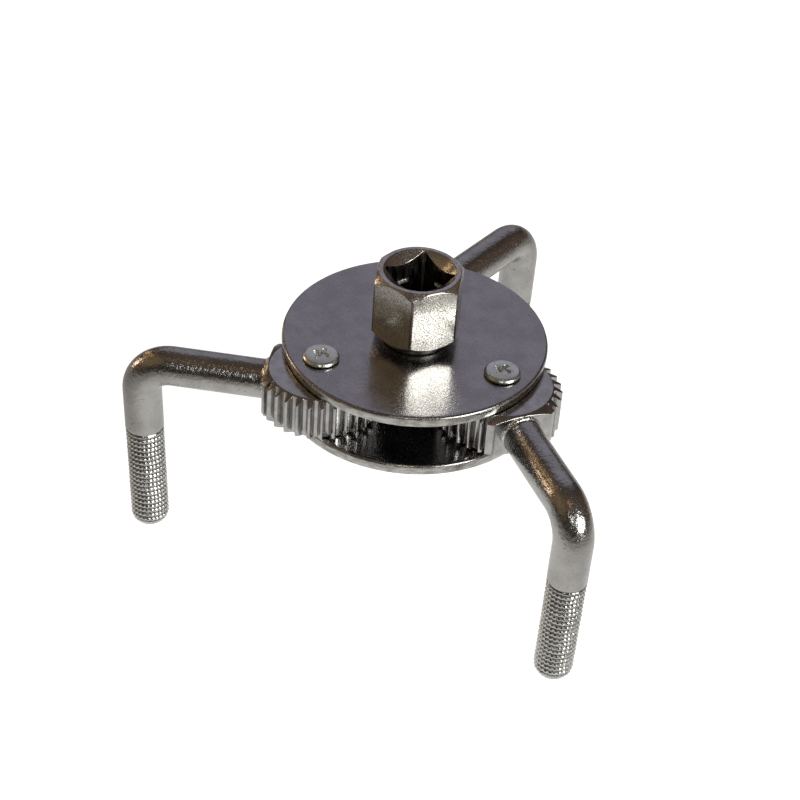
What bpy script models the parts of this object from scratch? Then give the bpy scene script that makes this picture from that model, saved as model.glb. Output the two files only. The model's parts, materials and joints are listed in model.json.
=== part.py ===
"""Three-leg, two-way geared oil filter wrench.

Two round plates carry three planet gears on pivot posts. Each planet gear holds an L-bent leg.
A drive head with a 21 mm hexagon and a 1/2 in square socket turns the central sun gear, and the
sun gear swings the three legs together, inwards or outwards, on to an oil filter canister.

The origin is the centre of the square socket's floor, +Z runs up out of the socket, and the
socket's walls face along X and Y.
"""
import math

import bmesh
import bpy

MM = 0.001

# Drive head
HEX_ACROSS_FLATS = 21.0 * MM
HEX_TOP = 14.5 * MM
HEX_BOTTOM = -3.1 * MM
HEX_TOP_FLAT_RADIUS = 10.2 * MM
HEX_BOTTOM_FLAT_RADIUS = 10.3 * MM
HEX_CHAMFER_SLOPE = math.tan(math.radians(45.0))
HEX_VERTEX_ANGLE = math.radians(-45.0)
SOCKET_ACROSS_FLATS = 12.7 * MM
SOCKET_COUNTERSINK_RADIUS = 9.1 * MM
SOCKET_COUNTERSINK_DEPTH = 6.4 * MM

# Stem of the drive head
JOURNAL_RADIUS = 7.0 * MM
STEM_ACROSS_FLATS = 11.6 * MM
LOWER_JOURNAL_RADIUS = 5.6 * MM
GROOVE_RADIUS = 4.9 * MM
GROOVE_TOP = -24.85 * MM
GROOVE_BOTTOM = -26.15 * MM
STEM_END = -27.3 * MM
STEM_CHAMFER = 0.6 * MM

# Plates
PLATE_RADIUS = 33.6 * MM
PLATE_THICKNESS = 2.7 * MM
PLATE_EDGE_ROLL = 0.45 * MM
TOP_PLATE_UPPER_FACE = -5.5 * MM
PLATE_GAP = 12.3 * MM
TOP_PLATE_LOWER_FACE = TOP_PLATE_UPPER_FACE - PLATE_THICKNESS
BOTTOM_PLATE_UPPER_FACE = TOP_PLATE_LOWER_FACE - PLATE_GAP
BOTTOM_PLATE_LOWER_FACE = BOTTOM_PLATE_UPPER_FACE - PLATE_THICKNESS

# Gear train: one sun gear and three planet gears
CENTRE_DISTANCE = 26.0 * MM
SUN_TEETH = 24
PLANET_TEETH = 30
MODULE = 2.0 * CENTRE_DISTANCE / (SUN_TEETH + PLANET_TEETH)
PRESSURE_ANGLE = math.radians(20.0)
DEDENDUM = 1.3 * MODULE
BACKLASH = 0.5 * MM
GEAR_THICKNESS = 11.7 * MM
PLANET_FACE_RADIUS = 12.8 * MM
PLANET_CHAMFER_SLOPE = 0.46
MISSING_TEETH = 6
BOSS_FLAT = 13.4 * MM
PLANET_BORE_RADIUS = 5.1 * MM
PIVOT_ANGLES = [math.radians(a) for a in (259.0, 19.0, 139.0)]

# Legs
LEG_RADIUS = 5.0 * MM
LEG_REACH = 46.0 * MM
LEG_BEND_RADIUS = 8.0 * MM
LEG_BEND = math.radians(92.0)
LEG_TIP = -66.3 * MM
LEG_TIP_CHAMFER = 2.2 * MM
TENON_RADIUS = 3.4 * MM
TENON_END = 8.0 * MM
JAW_REST_ANGLE = math.radians(-34.5)

# Pivot posts, screws, washers and retaining ring
POST_RADIUS = 4.8 * MM
POST_BORE_RADIUS = 2.4 * MM
POST_BORE_DEPTH = 7.5 * MM
POST_STUB_RADIUS = 3.2 * MM
RIVET_HEAD_RADIUS = 4.6 * MM
RIVET_HEAD_HEIGHT = 1.3 * MM
SCREW_HEAD_RADIUS = 4.6 * MM
SCREW_HEAD_HEIGHT = 1.3 * MM
SCREW_SHANK_RADIUS = 2.1 * MM
SCREW_SHANK_LENGTH = 9.0 * MM
RECESS_ARM = 2.3 * MM
RECESS_HALF_WIDTH = 0.55 * MM
RECESS_DEPTH = 0.95 * MM
UPPER_WASHER_RADIUS = 8.8 * MM
LOWER_WASHER_RADIUS = 9.0 * MM
LOWER_WASHER_THICKNESS = 1.0 * MM
RING_RADIUS = 8.0 * MM
RING_THICKNESS = 0.8 * MM
RING_OPENING = math.radians(50.0)

CLEARANCE = 0.3 * MM
FINE_STEPS = 72
ROUND_STEPS = 32
SMALL_STEPS = 20
SHARP_ANGLE = math.radians(30.0)

# Levels that follow from the plates
RUNNING_LEVEL = (TOP_PLATE_LOWER_FACE + BOTTOM_PLATE_UPPER_FACE) / 2.0
GEAR_TOP = RUNNING_LEVEL + GEAR_THICKNESS / 2.0
GEAR_BOTTOM = RUNNING_LEVEL - GEAR_THICKNESS / 2.0
POST_TOP = TOP_PLATE_LOWER_FACE - CLEARANCE
POST_SHOULDER = BOTTOM_PLATE_UPPER_FACE + CLEARANCE
SCREW_SEAT = TOP_PLATE_UPPER_FACE + CLEARANCE
LEG_SHOULDER = BOSS_FLAT + CLEARANCE


def clear_scene():
    """Remove every object that the open file holds."""
    for obj in list(bpy.data.objects):
        bpy.data.objects.remove(obj, do_unlink=True)


def steel(name, color, roughness):
    """Return a metal material with a base colour and a roughness."""
    mat = bpy.data.materials.new(name)
    mat.use_nodes = True
    shader = mat.node_tree.nodes["Principled BSDF"]
    shader.inputs["Base Color"].default_value = (*color, 1.0)
    shader.inputs["Roughness"].default_value = roughness
    shader.inputs["Metallic"].default_value = 1.0
    mat.diffuse_color = (*color, 1.0)
    return mat


def make_object(name, bm, mat=None, parent=None):
    """Turn a bmesh into a smooth-shaded object with sharp edges, and free the bmesh."""
    bmesh.ops.recalc_face_normals(bm, faces=bm.faces)
    mesh = bpy.data.meshes.new(name)
    bm.to_mesh(mesh)
    bm.free()
    mesh.shade_smooth()
    mesh.set_sharp_from_angle(angle=SHARP_ANGLE)
    if mat:
        mesh.materials.append(mat)
    obj = bpy.data.objects.new(name, mesh)
    bpy.context.scene.collection.objects.link(obj)
    obj.parent = parent
    return obj


def pivot_empty(name, angle, turn):
    """Place an empty on a pivot axis, turned so that its +X runs along the jaw's leg."""
    empty = bpy.data.objects.new(name, None)
    empty.empty_display_size = 10.0 * MM
    empty.location = (CENTRE_DISTANCE * math.cos(angle), CENTRE_DISTANCE * math.sin(angle), 0.0)
    empty.rotation_euler = (0.0, 0.0, turn)
    bpy.context.scene.collection.objects.link(empty)
    return empty


def cut(obj, cutter):
    """Subtract a hidden cutter from an object."""
    cutter.hide_render = True
    cutter.display_type = "WIRE"
    modifier = obj.modifiers.new(cutter.name, "BOOLEAN")
    modifier.operation = "DIFFERENCE"
    modifier.solver = "EXACT"
    modifier.object = cutter


def circle(radius, steps, centre=(0.0, 0.0)):
    """Points of a circle in the XY plane, counter-clockwise."""
    angles = [2.0 * math.pi * i / steps for i in range(steps)]
    return [(centre[0] + radius * math.cos(a), centre[1] + radius * math.sin(a)) for a in angles]


def polygon(sides, across_flats, vertex_angle):
    """Corners of a regular polygon given across its flats."""
    radius = across_flats / 2.0 / math.cos(math.pi / sides)
    angles = [vertex_angle + 2.0 * math.pi * i / sides for i in range(sides)]
    return [(radius * math.cos(a), radius * math.sin(a)) for a in angles]


def add_wall(bm, sections):
    """Join outlines of equal length, each given as (points, heights), with a band of faces."""
    rings = []
    for points, heights in sections:
        rings.append([bm.verts.new((x, y, z)) for (x, y), z in zip(points, heights)])
    count = len(rings[0])
    for low, high in zip(rings, rings[1:]):
        for i in range(count):
            j = (i + 1) % count
            bm.faces.new((low[i], low[j], high[j], high[i]))
    return rings


def add_caps(bm, walls):
    """Close the two open ends of one or more walls, leaving the inner walls as holes."""
    for end in (0, -1):
        edges = []
        for rings in walls:
            ring = rings[end]
            edges += [bm.edges.get((ring[i - 1], ring[i])) for i in range(len(ring))]
        bmesh.ops.triangle_fill(bm, use_beauty=True, use_dissolve=False, edges=edges)


def extruded(walls):
    """Build a solid from an outer wall and any number of hole walls."""
    bm = bmesh.new()
    add_caps(bm, [add_wall(bm, sections) for sections in walls])
    return bm


def level(points, z):
    """Section of a wall whose points all lie at one height."""
    return points, [z] * len(points)


def straight(points, low, high):
    """Sections of a straight wall between two levels."""
    return [level(points, low), level(points, high)]


def turned(profile, steps, closed=False):
    """Turn a profile of (radius, z) points round Z; an open profile ends on the axis."""
    bm = bmesh.new()
    rings = []
    for radius, z in profile:
        if radius == 0.0:
            rings.append([bm.verts.new((0.0, 0.0, z))] * steps)
        else:
            rings.append([bm.verts.new((x, y, z)) for x, y in circle(radius, steps)])
    pairs = list(zip(rings, rings[1:]))
    if closed:
        pairs.append((rings[-1], rings[0]))
    for first, second in pairs:
        for i in range(steps):
            j = (i + 1) % steps
            corners = [first[i], first[j], second[j], second[i]]
            bm.faces.new(list(dict.fromkeys(corners)))
    return bm


def swept(stations, sides):
    """Sweep a circle through stations of (x, z, pitch, radius) in the XZ plane."""
    bm = bmesh.new()
    rings = []
    for x, z, pitch, radius in stations:
        ring = []
        for across, upwards in circle(radius, sides):
            place = (x + upwards * math.sin(pitch), across, z + upwards * math.cos(pitch))
            ring.append(bm.verts.new(place))
        rings.append(ring)
    for first, second in zip(rings, rings[1:]):
        for i in range(sides):
            j = (i + 1) % sides
            bm.faces.new((first[i], first[j], second[j], second[i]))
    bm.faces.new(rings[0])
    bm.faces.new(rings[-1])
    return bm


def involute(angle):
    """The involute function of an angle."""
    return math.tan(angle) - angle


def half_tooth_angle(radius, pitch_radius):
    """Half the angle that a tooth fills at a radius, thinned by its share of the backlash."""
    thickness = math.pi * MODULE / 2.0 - BACKLASH / 2.0
    base_radius = pitch_radius * math.cos(PRESSURE_ANGLE)
    roll = math.acos(min(1.0, base_radius / radius))
    return thickness / 2.0 / pitch_radius + involute(PRESSURE_ANGLE) - involute(roll)


def tooth(centre, pitch_radius):
    """Six outline points of one tooth: root, pitch and tip on each flank."""
    radii = (pitch_radius - DEDENDUM, pitch_radius, pitch_radius + MODULE)
    rising = [(r, centre - half_tooth_angle(r, pitch_radius)) for r in radii]
    falling = [(r, 2.0 * centre - a) for r, a in reversed(rising)]
    return rising + falling


def gear_outline(teeth, pitch_radius, phase, missing=0):
    """Polar outline of a gear whose missing teeth are centred on angle zero."""
    pitch = 2.0 * math.pi / teeth
    outline = []
    for i in range(teeth - missing):
        outline += tooth(phase + pitch * i, pitch_radius)
    return outline


def boss_outline():
    """Polar outline of the smooth stretch that takes the leg, with a flat seat in its middle."""
    tip_radius = PLANET_TEETH * MODULE / 2.0 + MODULE
    arc_end = math.pi * MISSING_TEETH / PLANET_TEETH
    flat_end = math.acos(BOSS_FLAT / tip_radius)
    flat_steps = 4
    flat = [flat_end * i / flat_steps for i in range(-flat_steps, flat_steps + 1)]
    angles = [-arc_end] + flat + [arc_end]
    return [(min(tip_radius, BOSS_FLAT / math.cos(a)), a) for a in angles]


def flat_points(outline, limit=None):
    """Turn a polar outline into XY points, pulling points beyond a limit radius in to it."""
    points = []
    for radius, angle in outline:
        if limit:
            radius = min(radius, limit)
        points.append((radius * math.cos(angle), radius * math.sin(angle)))
    return points


def sun_phase():
    """Angle of a sun tooth that puts a planet's tooth in a sun gap on the line of centres."""
    planet_pitch = 2.0 * math.pi / PLANET_TEETH
    planet_lead = JAW_REST_ANGLE + planet_pitch / 2.0 - math.pi
    sun_gap = -planet_lead * PLANET_TEETH / SUN_TEETH
    return PIVOT_ANGLES[0] + sun_gap + math.pi / SUN_TEETH


def make_plate(name, low, centre_hole, pivot_hole, mat):
    """A round plate with a rolled edge, a hole for the stem and three holes for the posts."""
    high = low + PLATE_THICKNESS
    rim = circle(PLATE_RADIUS, FINE_STEPS)
    face = circle(PLATE_RADIUS - PLATE_EDGE_ROLL, FINE_STEPS)
    outer = [
        level(face, low),
        level(rim, low + PLATE_EDGE_ROLL),
        level(rim, high - PLATE_EDGE_ROLL),
        level(face, high),
    ]
    walls = [outer, straight(circle(centre_hole, ROUND_STEPS), low, high)]
    for angle in PIVOT_ANGLES:
        centre = (CENTRE_DISTANCE * math.cos(angle), CENTRE_DISTANCE * math.sin(angle))
        walls.append(straight(circle(pivot_hole, SMALL_STEPS, centre), low, high))
    return make_object(name, extruded(walls), mat)


def flats_cutter(name, points, low, high):
    """A thick collar whose hole leaves a prism with the given outline."""
    collar = circle(HEX_ACROSS_FLATS, SMALL_STEPS)
    return make_object(name, extruded([straight(collar, low, high), straight(points, low, high)]))


def make_drive_head(mat):
    """Chamfered hexagon, thrust face and stem in one turned blank, with flats and socket cut."""
    corner = HEX_ACROSS_FLATS / 2.0 / math.cos(math.pi / 6.0) + CLEARANCE
    top_chamfer = (corner - HEX_TOP_FLAT_RADIUS) * HEX_CHAMFER_SLOPE
    bottom_chamfer = (corner - HEX_BOTTOM_FLAT_RADIUS) * HEX_CHAMFER_SLOPE
    blank = turned(
        [
            (0.0, STEM_END),
            (LOWER_JOURNAL_RADIUS - STEM_CHAMFER, STEM_END),
            (LOWER_JOURNAL_RADIUS, STEM_END + STEM_CHAMFER),
            (LOWER_JOURNAL_RADIUS, GROOVE_BOTTOM),
            (GROOVE_RADIUS, GROOVE_BOTTOM),
            (GROOVE_RADIUS, GROOVE_TOP),
            (LOWER_JOURNAL_RADIUS, GROOVE_TOP),
            (LOWER_JOURNAL_RADIUS, GEAR_BOTTOM),
            (JOURNAL_RADIUS, GEAR_BOTTOM),
            (JOURNAL_RADIUS, HEX_BOTTOM),
            (HEX_BOTTOM_FLAT_RADIUS, HEX_BOTTOM),
            (corner, HEX_BOTTOM + bottom_chamfer),
            (corner, HEX_TOP - top_chamfer),
            (HEX_TOP_FLAT_RADIUS, HEX_TOP),
            (0.0, HEX_TOP),
        ],
        ROUND_STEPS,
    )
    head = make_object("drive_head", blank, mat)
    hexagon = polygon(6, HEX_ACROSS_FLATS, HEX_VERTEX_ANGLE)
    margin = 1.0 * MM
    cut(head, flats_cutter("hex_flats", hexagon, HEX_BOTTOM - margin / 2.0, HEX_TOP + margin))
    square = polygon(4, STEM_ACROSS_FLATS, math.pi / 4.0)
    cut(head, flats_cutter("stem_flats", square, GEAR_BOTTOM - margin, GEAR_TOP))
    socket = polygon(4, SOCKET_ACROSS_FLATS, math.pi / 4.0)
    cut(head, make_object("square_socket", extruded([straight(socket, 0.0, HEX_TOP + margin)])))
    slope = SOCKET_COUNTERSINK_RADIUS / SOCKET_COUNTERSINK_DEPTH
    countersink = [
        (0.0, HEX_TOP - SOCKET_COUNTERSINK_DEPTH),
        (SOCKET_COUNTERSINK_RADIUS + margin * slope, HEX_TOP + margin),
        (0.0, HEX_TOP + margin),
    ]
    cut(head, make_object("socket_countersink", turned(countersink, ROUND_STEPS)))
    return head


def make_washer(name, inner, outer, low, high, mat):
    """A plain flat washer."""
    profile = [(inner, low), (outer, low), (outer, high), (inner, high)]
    return make_object(name, turned(profile, ROUND_STEPS, closed=True), mat)


def make_retaining_ring(mat):
    """An open spring ring that sits in the groove near the end of the stem."""
    low = (GROOVE_TOP + GROOVE_BOTTOM - RING_THICKNESS) / 2.0
    steps = SMALL_STEPS
    span = 2.0 * math.pi - RING_OPENING
    angles = [RING_OPENING / 2.0 + span * i / steps for i in range(steps + 1)]
    outline = [(RING_RADIUS, a) for a in angles]
    outline += [(GROOVE_RADIUS + CLEARANCE, a) for a in reversed(angles)]
    walls = [straight(flat_points(outline), low, low + RING_THICKNESS)]
    return make_object("retaining_ring", extruded(walls), mat)


def make_sun_gear(mat):
    """The central gear, with a square bore that the stem drives."""
    outline = gear_outline(SUN_TEETH, SUN_TEETH * MODULE / 2.0, sun_phase())
    bore = polygon(4, STEM_ACROSS_FLATS + 2.0 * CLEARANCE, math.pi / 4.0)
    walls = [
        straight(flat_points(outline), GEAR_BOTTOM, GEAR_TOP),
        straight(bore, GEAR_BOTTOM, GEAR_TOP),
    ]
    return make_object("sun_gear", extruded(walls), mat)


def make_planet_gear(number, jaw, mat):
    """A toothed sector with chamfered faces, a smooth boss for the leg and a bore for the post."""
    pitch_radius = PLANET_TEETH * MODULE / 2.0
    first_tooth = math.pi * (MISSING_TEETH + 1) / PLANET_TEETH
    outline = gear_outline(PLANET_TEETH, pitch_radius, first_tooth, MISSING_TEETH)
    outline = boss_outline() + outline
    face = flat_points(outline, PLANET_FACE_RADIUS)
    edge = flat_points(outline)
    drops = [(radius - PLANET_FACE_RADIUS) * PLANET_CHAMFER_SLOPE for radius, _ in outline]
    outer = [
        level(face, GEAR_BOTTOM),
        (edge, [GEAR_BOTTOM + drop for drop in drops]),
        (edge, [GEAR_TOP - drop for drop in drops]),
        level(face, GEAR_TOP),
    ]
    bore = straight(circle(PLANET_BORE_RADIUS, ROUND_STEPS), GEAR_BOTTOM, GEAR_TOP)
    planet = make_object(f"planet_gear_{number}", extruded([outer, bore]), mat, jaw)
    hole_radius = TENON_RADIUS + CLEARANCE
    hole = swept(
        [
            (TENON_END - CLEARANCE, RUNNING_LEVEL, 0.0, hole_radius),
            (PLATE_RADIUS, RUNNING_LEVEL, 0.0, hole_radius),
        ],
        SMALL_STEPS,
    )
    cut(planet, make_object(f"tenon_hole_{number}", hole, parent=jaw))
    return planet


def leg_stations():
    """Stations along a leg: tenon, shoulder, straight arm, bend, leaning drop and tip."""
    arm_end = LEG_REACH - LEG_BEND_RADIUS * math.tan(LEG_BEND / 2.0)
    stations = [
        (TENON_END, RUNNING_LEVEL, 0.0, TENON_RADIUS),
        (LEG_SHOULDER, RUNNING_LEVEL, 0.0, TENON_RADIUS),
        (LEG_SHOULDER, RUNNING_LEVEL, 0.0, LEG_RADIUS),
    ]
    bend_steps = 8
    for i in range(bend_steps + 1):
        turn = LEG_BEND * i / bend_steps
        x = arm_end + LEG_BEND_RADIUS * math.sin(turn)
        z = RUNNING_LEVEL - LEG_BEND_RADIUS * (1.0 - math.cos(turn))
        stations.append((x, z, turn, LEG_RADIUS))
    drop = (RUNNING_LEVEL - LEG_TIP) / math.sin(LEG_BEND)
    for turn in (0.0, math.pi / 4.0, math.pi / 2.0):
        length = drop - LEG_TIP_CHAMFER * (1.0 - math.sin(turn))
        radius = LEG_RADIUS - LEG_TIP_CHAMFER * (1.0 - math.cos(turn))
        x = LEG_REACH + length * math.cos(LEG_BEND)
        z = RUNNING_LEVEL - length * math.sin(LEG_BEND)
        stations.append((x, z, LEG_BEND, radius))
    return stations


def make_pivot_post(number, pivot, mat):
    """A shouldered post with a blind screw bore on top and a riveted head under the plate."""
    head_top = BOTTOM_PLATE_LOWER_FACE - CLEARANCE
    head_bottom = head_top - RIVET_HEAD_HEIGHT
    profile = [
        (0.0, head_bottom),
        (RIVET_HEAD_RADIUS * 0.7, head_bottom),
        (RIVET_HEAD_RADIUS, head_bottom + RIVET_HEAD_HEIGHT / 2.0),
        (RIVET_HEAD_RADIUS, head_top),
        (POST_STUB_RADIUS, head_top),
        (POST_STUB_RADIUS, POST_SHOULDER),
        (POST_RADIUS, POST_SHOULDER),
        (POST_RADIUS, POST_TOP),
        (POST_BORE_RADIUS, POST_TOP),
        (POST_BORE_RADIUS, POST_TOP - POST_BORE_DEPTH),
        (0.0, POST_TOP - POST_BORE_DEPTH),
    ]
    return make_object(f"pivot_post_{number}", turned(profile, SMALL_STEPS), mat, pivot)


def recess_cutter(number, pivot):
    """A tapered cross that cuts the driver recess of a screw."""
    top = SCREW_SEAT + SCREW_HEAD_HEIGHT + CLEARANCE
    corners = [
        (RECESS_HALF_WIDTH, RECESS_HALF_WIDTH),
        (RECESS_HALF_WIDTH, RECESS_ARM),
        (-RECESS_HALF_WIDTH, RECESS_ARM),
    ]
    wide = []
    for quarter in range(4):
        turn = math.pi / 2.0 * quarter
        for x, y in corners:
            wide.append((x * math.cos(turn) - y * math.sin(turn),
                         x * math.sin(turn) + y * math.cos(turn)))
    narrow = [(x * 0.5, y * 0.5) for x, y in wide]
    bm = extruded([[level(narrow, top - CLEARANCE - RECESS_DEPTH), level(wide, top)]])
    return make_object(f"screw_recess_{number}", bm, parent=pivot)


def make_plate_screw(number, pivot, mat):
    """A pan-head screw that clamps the top plate on to its post."""
    profile = [
        (0.0, SCREW_SEAT - SCREW_SHANK_LENGTH),
        (SCREW_SHANK_RADIUS, SCREW_SEAT - SCREW_SHANK_LENGTH),
        (SCREW_SHANK_RADIUS, SCREW_SEAT),
        (SCREW_HEAD_RADIUS, SCREW_SEAT),
        (SCREW_HEAD_RADIUS, SCREW_SEAT + SCREW_HEAD_HEIGHT * 0.4),
        (SCREW_HEAD_RADIUS * 0.93, SCREW_SEAT + SCREW_HEAD_HEIGHT * 0.75),
        (SCREW_HEAD_RADIUS * 0.7, SCREW_SEAT + SCREW_HEAD_HEIGHT),
        (0.0, SCREW_SEAT + SCREW_HEAD_HEIGHT),
    ]
    screw = make_object(f"plate_screw_{number}", turned(profile, SMALL_STEPS), mat, pivot)
    cut(screw, recess_cutter(number, pivot))
    return screw


def main():
    """Build the whole wrench at its rest pose."""
    clear_scene()
    plate_steel = steel("plate_steel", (0.36, 0.35, 0.40), 0.38)
    drive_steel = steel("drive_steel", (0.50, 0.48, 0.46), 0.28)
    gear_steel = steel("gear_steel", (0.44, 0.44, 0.46), 0.35)
    leg_plating = steel("leg_plating", (0.62, 0.61, 0.60), 0.22)
    screw_zinc = steel("screw_zinc", (0.66, 0.66, 0.68), 0.3)
    hardware_steel = steel("hardware_steel", (0.30, 0.30, 0.31), 0.45)

    top_low = TOP_PLATE_LOWER_FACE
    bottom_low = BOTTOM_PLATE_LOWER_FACE
    screw_hole = SCREW_SHANK_RADIUS + CLEARANCE
    make_plate("top_plate", top_low, JOURNAL_RADIUS + CLEARANCE, screw_hole, plate_steel)
    lower_bore = LOWER_JOURNAL_RADIUS + CLEARANCE
    make_plate("bottom_plate", bottom_low, lower_bore, POST_STUB_RADIUS + CLEARANCE, plate_steel)

    make_drive_head(drive_steel)
    make_sun_gear(gear_steel)
    washer_low = TOP_PLATE_UPPER_FACE + CLEARANCE
    washer_high = HEX_BOTTOM - CLEARANCE
    upper_bore = JOURNAL_RADIUS + CLEARANCE
    make_washer("upper_thrust_washer", upper_bore, UPPER_WASHER_RADIUS, washer_low, washer_high,
                hardware_steel)
    washer_high = BOTTOM_PLATE_LOWER_FACE - CLEARANCE
    washer_low = washer_high - LOWER_WASHER_THICKNESS
    make_washer("lower_thrust_washer", lower_bore, LOWER_WASHER_RADIUS, washer_low, washer_high,
                hardware_steel)
    make_retaining_ring(hardware_steel)

    for number, angle in enumerate(PIVOT_ANGLES, start=1):
        jaw = pivot_empty(f"jaw_axis_{number}", angle, angle + JAW_REST_ANGLE)
        pivot = pivot_empty(f"pivot_{number}", angle, angle)
        make_planet_gear(number, jaw, gear_steel)
        make_object(f"leg_{number}", swept(leg_stations(), SMALL_STEPS), leg_plating, jaw)
        make_pivot_post(number, pivot, hardware_steel)
        make_plate_screw(number, pivot, screw_zinc)


main()
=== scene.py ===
"""Looks of the three-leg geared oil filter wrench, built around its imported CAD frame.

Meshes are worked out in millimetres in the row frame: the origin is the centre of the socket's
floor and +Z runs up out of the socket. Most levels come from the boxes of the CAD nodes, pivots
from the joints and leg directions from the leg tip mounts.
"""

import json
import math

import bmesh
import bpy
import numpy as np
from mathutils import Matrix, Vector, noise


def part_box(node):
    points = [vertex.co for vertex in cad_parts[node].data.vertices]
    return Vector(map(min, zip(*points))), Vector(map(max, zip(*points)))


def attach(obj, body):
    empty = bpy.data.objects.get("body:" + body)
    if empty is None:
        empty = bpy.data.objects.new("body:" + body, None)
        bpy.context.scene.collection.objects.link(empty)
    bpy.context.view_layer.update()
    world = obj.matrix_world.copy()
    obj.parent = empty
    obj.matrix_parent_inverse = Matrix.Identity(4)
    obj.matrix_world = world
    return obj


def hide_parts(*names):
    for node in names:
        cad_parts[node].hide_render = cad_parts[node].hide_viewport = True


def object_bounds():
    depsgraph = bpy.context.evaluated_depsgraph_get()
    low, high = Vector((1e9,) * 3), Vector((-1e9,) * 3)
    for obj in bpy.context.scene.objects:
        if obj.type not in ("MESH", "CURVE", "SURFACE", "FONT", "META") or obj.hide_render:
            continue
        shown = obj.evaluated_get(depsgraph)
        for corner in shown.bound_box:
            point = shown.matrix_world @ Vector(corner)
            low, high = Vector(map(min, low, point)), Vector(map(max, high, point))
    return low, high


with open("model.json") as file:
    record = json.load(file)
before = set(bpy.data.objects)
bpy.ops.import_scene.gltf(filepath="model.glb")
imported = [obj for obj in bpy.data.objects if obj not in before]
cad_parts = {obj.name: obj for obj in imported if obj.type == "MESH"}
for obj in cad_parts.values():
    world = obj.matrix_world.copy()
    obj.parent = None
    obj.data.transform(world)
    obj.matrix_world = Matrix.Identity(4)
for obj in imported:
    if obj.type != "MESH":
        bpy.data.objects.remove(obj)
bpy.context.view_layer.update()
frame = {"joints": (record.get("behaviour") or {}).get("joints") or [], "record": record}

MM = 0.001
TURN = 2.0 * math.pi
GAP = 0.3

# Drive head
HEX_HALF_WIDTH = 10.5
HEX_EDGE = 0.75
HEX_VERTEX_ANGLE = math.radians(-45.0)
HEX_TOP_FLAT = 10.2
HEX_BOTTOM_FLAT = 10.3
HEX_CHAMFER_SLOPE = 1.0
SOCKET_HALF_WIDTH = 6.35
SOCKET_CORNER = 0.45
COUNTERSINK_RADIUS = 9.15
COUNTERSINK_SLOPE = 0.7
DETENT_LEVEL = 7.4
DETENT_HALF_HEIGHT = 0.75
DETENT_HALF_WIDTH = 1.6
DETENT_DEPTH = 0.7
JOURNAL_RADIUS = 7.0
STEM_HALF_WIDTH = 5.8
LOWER_JOURNAL_RADIUS = 5.6
GROOVE_RADIUS = 4.9
GROOVE_TOP = -24.85
GROOVE_BOTTOM = -26.15

# Plates
PLATE_RADIUS = 33.6
HOLE_STEPS = 64

# Gears
SUN_TEETH = 24
PLANET_TEETH = 30
MISSING_TEETH = 6
PRESSURE_ANGLE = math.radians(20.0)
BACKLASH = 0.5
PLANET_FACE_RADIUS = 12.8
PLANET_CHAMFER_SLOPE = 0.46
BOSS_FLAT = 13.4
PLANET_BORE_RADIUS = 5.1

# Legs
LEG_RADIUS = 5.0
LEG_REACH = 46.0
LEG_BEND_RADIUS = 8.0
LEG_BEND = math.radians(92.0)
LEG_TIP_ROUND = 3.2
KNURL_TOPS = {1: -34.8, 2: -34.2, 3: -35.8}
KNURL_PITCH = 1.46
KNURL_COLUMNS = 24
KNURL_DEPTH = 0.5
KNURL_END_MARGIN = 0.5
LEG_INSET = 0.4
BEAD_CENTRE = -0.1
BEAD_WIDTH = 0.75

# Posts, screws, washers and retaining ring
POST_RADIUS = 4.8
POST_STUB_RADIUS = 3.2
RIVET_HEAD_RADIUS = 4.6
RIVET_HEAD_HEIGHT = 1.3
SCREW_HEAD_RADIUS = 4.6
SCREW_HEAD_HEIGHT = 1.3
SCREW_SHANK_RADIUS = 2.1
RECESS_ARM = 2.35
RECESS_HALF_WIDTH = 0.58
RECESS_DEPTH = 0.95
SCREW_BORE_DEPTH = 7.5
SCREW_TURNS = {1: 26.0, 2: 23.0, 3: 40.0}
RING_OPENING = math.radians(50.0)

# Room light: azimuth, elevation, inner and outer angle in degrees, and colour of each patch
ROOM_SHADE = (0.045, 0.036, 0.032)
ROOM_PATCHES = [
    (0.0, 90.0, 12.0, 55.0, (0.115, 0.09, 0.072)),
    (140.0, 30.0, 18.0, 31.0, (0.37, 0.355, 0.42)),
    (215.0, 28.0, 15.0, 34.0, (0.20, 0.13, 0.08)),
    (249.0, 38.0, 10.0, 30.0, (0.27, 0.19, 0.10)),
    (66.0, 20.0, 18.0, 36.0, (0.125, 0.080, 0.060)),
    (199.0, 33.0, 1.5, 5.5, (2.4, 1.6, 0.8)),
    (178.0, 15.0, 1.5, 6.0, (3.4, 2.2, 1.1)),
    (206.0, 10.0, 3.0, 9.0, (7.0, 5.0, 3.4)),
    (9.0, 27.0, 13.2, 16.4, (10.5, 10.6, 10.0)),
    (-42.0, 40.0, 2.0, 6.5, (7.0, 6.9, 6.6)),
    (-40.0, 74.0, 1.0, 4.0, (4.0, 2.0, 0.9)),
]

# Floor and its light, in metres
FLOOR_HALF_WIDTH = 2.5
FLOOR_DROP = 0.0002
POOL_AZIMUTH = 50.0
POOL_FADE = (0.09, 0.30, 0.6, 0.05)
POOL_SIDE = (-0.135, -0.045, 0.4, 1.0)
FLOOR_GLOW = 0.95

# Camera, in metres, degrees and millimetres of lens
CAMERA_AIM = (0.0003, -0.0037, -0.0246)
CAMERA_DISTANCE = 0.545
CAMERA_AZIMUTH = -39.292
CAMERA_ELEVATION = 38.217
CAMERA_ROLL = 4.031
CAMERA_LENS = 95.5


# Frame facts

def low(node, axis=2):
    """Lowest coordinate of a CAD node, in millimetres."""
    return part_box(node)[0][axis] / MM


def high(node, axis=2):
    """Highest coordinate of a CAD node, in millimetres."""
    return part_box(node)[1][axis] / MM


def mount(mount_name):
    """Position of one of the record's mounts, in millimetres."""
    found = [m for m in frame["record"]["mounts"] if m["name"] == mount_name]
    return Vector(found[0]["pos_m"]) / MM


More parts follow.
